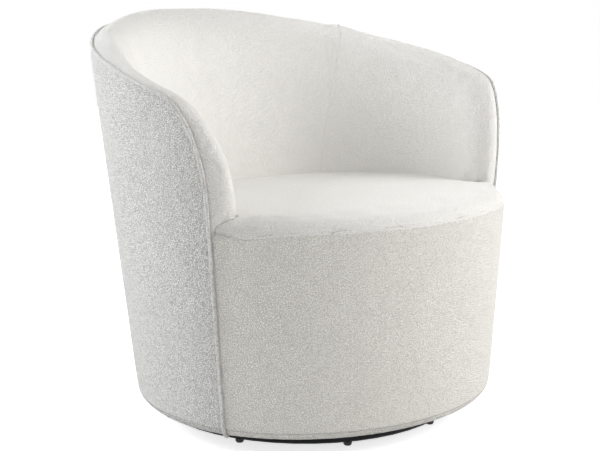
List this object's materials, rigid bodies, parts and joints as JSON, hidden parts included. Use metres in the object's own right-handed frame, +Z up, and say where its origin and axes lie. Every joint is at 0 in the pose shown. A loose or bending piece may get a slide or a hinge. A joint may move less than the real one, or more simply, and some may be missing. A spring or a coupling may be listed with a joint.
{
  "type": "swivel accent chair",
  "caption": "Low barrel armchair upholstered all over in off-white looped fabric, with a wrap-round back that slopes into the arms, on a round black swivel base.",
  "frame": {"origin": "on the floor, at the middle of the chair's bounding box in plan", "axes": "+Z up, -Y the way the seat faces, +X to the chair's own left-hand arm as its sitter faces -Y"},
  "size_m": [0.82, 0.7953, 0.7507],
  "materials": {
    "boucle_fabric": "off-white looped wool-like pile",
    "foam": "upholstery foam",
    "webbing": "woven elastic webbing",
    "dust_cloth": "black non-woven cloth",
    "plywood": "sawn plywood",
    "hardboard": "thin bent hardboard",
    "black_paint": "black powder coat",
    "zinc": "zinc-plated steel",
    "ball_steel": "polished bearing steel",
    "black_plastic": "moulded black plastic",
    "cage_plastic": "moulded nylon"
  },
  "bodies": {
    "base": {"base_ring": "black_paint", "base_cross": "black_paint", "swivel_lower_plate": "zinc", "swivel_pin": "zinc", "glide_1": "black_plastic", "glide_2": "black_plastic", "glide_3": "black_plastic", "glide_4": "black_plastic", "glide_5": "black_plastic", "glide_6": "black_plastic", "glide_7": "black_plastic", "glide_8": "black_plastic", "glide_9": "black_plastic", "lower_screw_1": "zinc", "lower_screw_2": "zinc", "lower_screw_3": "zinc", "lower_screw_4": "zinc"},
    "ball_cage": {"ball_cage": "cage_plastic", "ball_1": "ball_steel", "ball_2": "ball_steel", "ball_3": "ball_steel", "ball_4": "ball_steel", "ball_5": "ball_steel", "ball_6": "ball_steel", "ball_7": "ball_steel", "ball_8": "ball_steel"},
    "chair": {"outer_cover": "boucle_fabric", "front_cover": "boucle_fabric", "inside_arm_cover_left": "boucle_fabric", "inside_arm_cover_right": "boucle_fabric", "inside_back_cover": "boucle_fabric", "seat_cover": "boucle_fabric", "welt": "boucle_fabric", "seat_cushion": "foam", "arm_back_padding": "foam", "dust_cover": "dust_cloth", "bottom_board": "plywood", "seat_frame": "plywood", "top_rail": "plywood", "side_liner": "hardboard", "front_liner": "hardboard", "swivel_upper_plate": "zinc", "cross_strap_1": "webbing", "cross_strap_2": "webbing", "cross_strap_3": "webbing", "long_strap_1": "webbing", "long_strap_2": "webbing", "front_upright_left": "plywood", "front_upright_right": "plywood", "arm_upright_left": "plywood", "arm_upright_right": "plywood", "side_upright_left": "plywood", "side_upright_right": "plywood", "back_upright_left": "plywood", "back_upright_right": "plywood", "upper_screw_1": "zinc", "upper_screw_2": "zinc", "upper_screw_3": "zinc", "upper_screw_4": "zinc"}
  },
  "joints": [
    {"name": "seat_swivel", "type": "hinge", "parent": "base", "child": "chair", "pos_m": [0, -0.035, 0.0304], "axis": [0, 0, 1], "continuous": true},
    {"name": "ball_cage_turn", "type": "hinge", "parent": "base", "child": "ball_cage", "pos_m": [0, -0.035, 0.0304], "axis": [0, 0, 1], "continuous": true}
  ],
  "couplings": [
    {"joint": "ball_cage_turn", "follows": "seat_swivel", "ratio": 0.5}
  ]
}
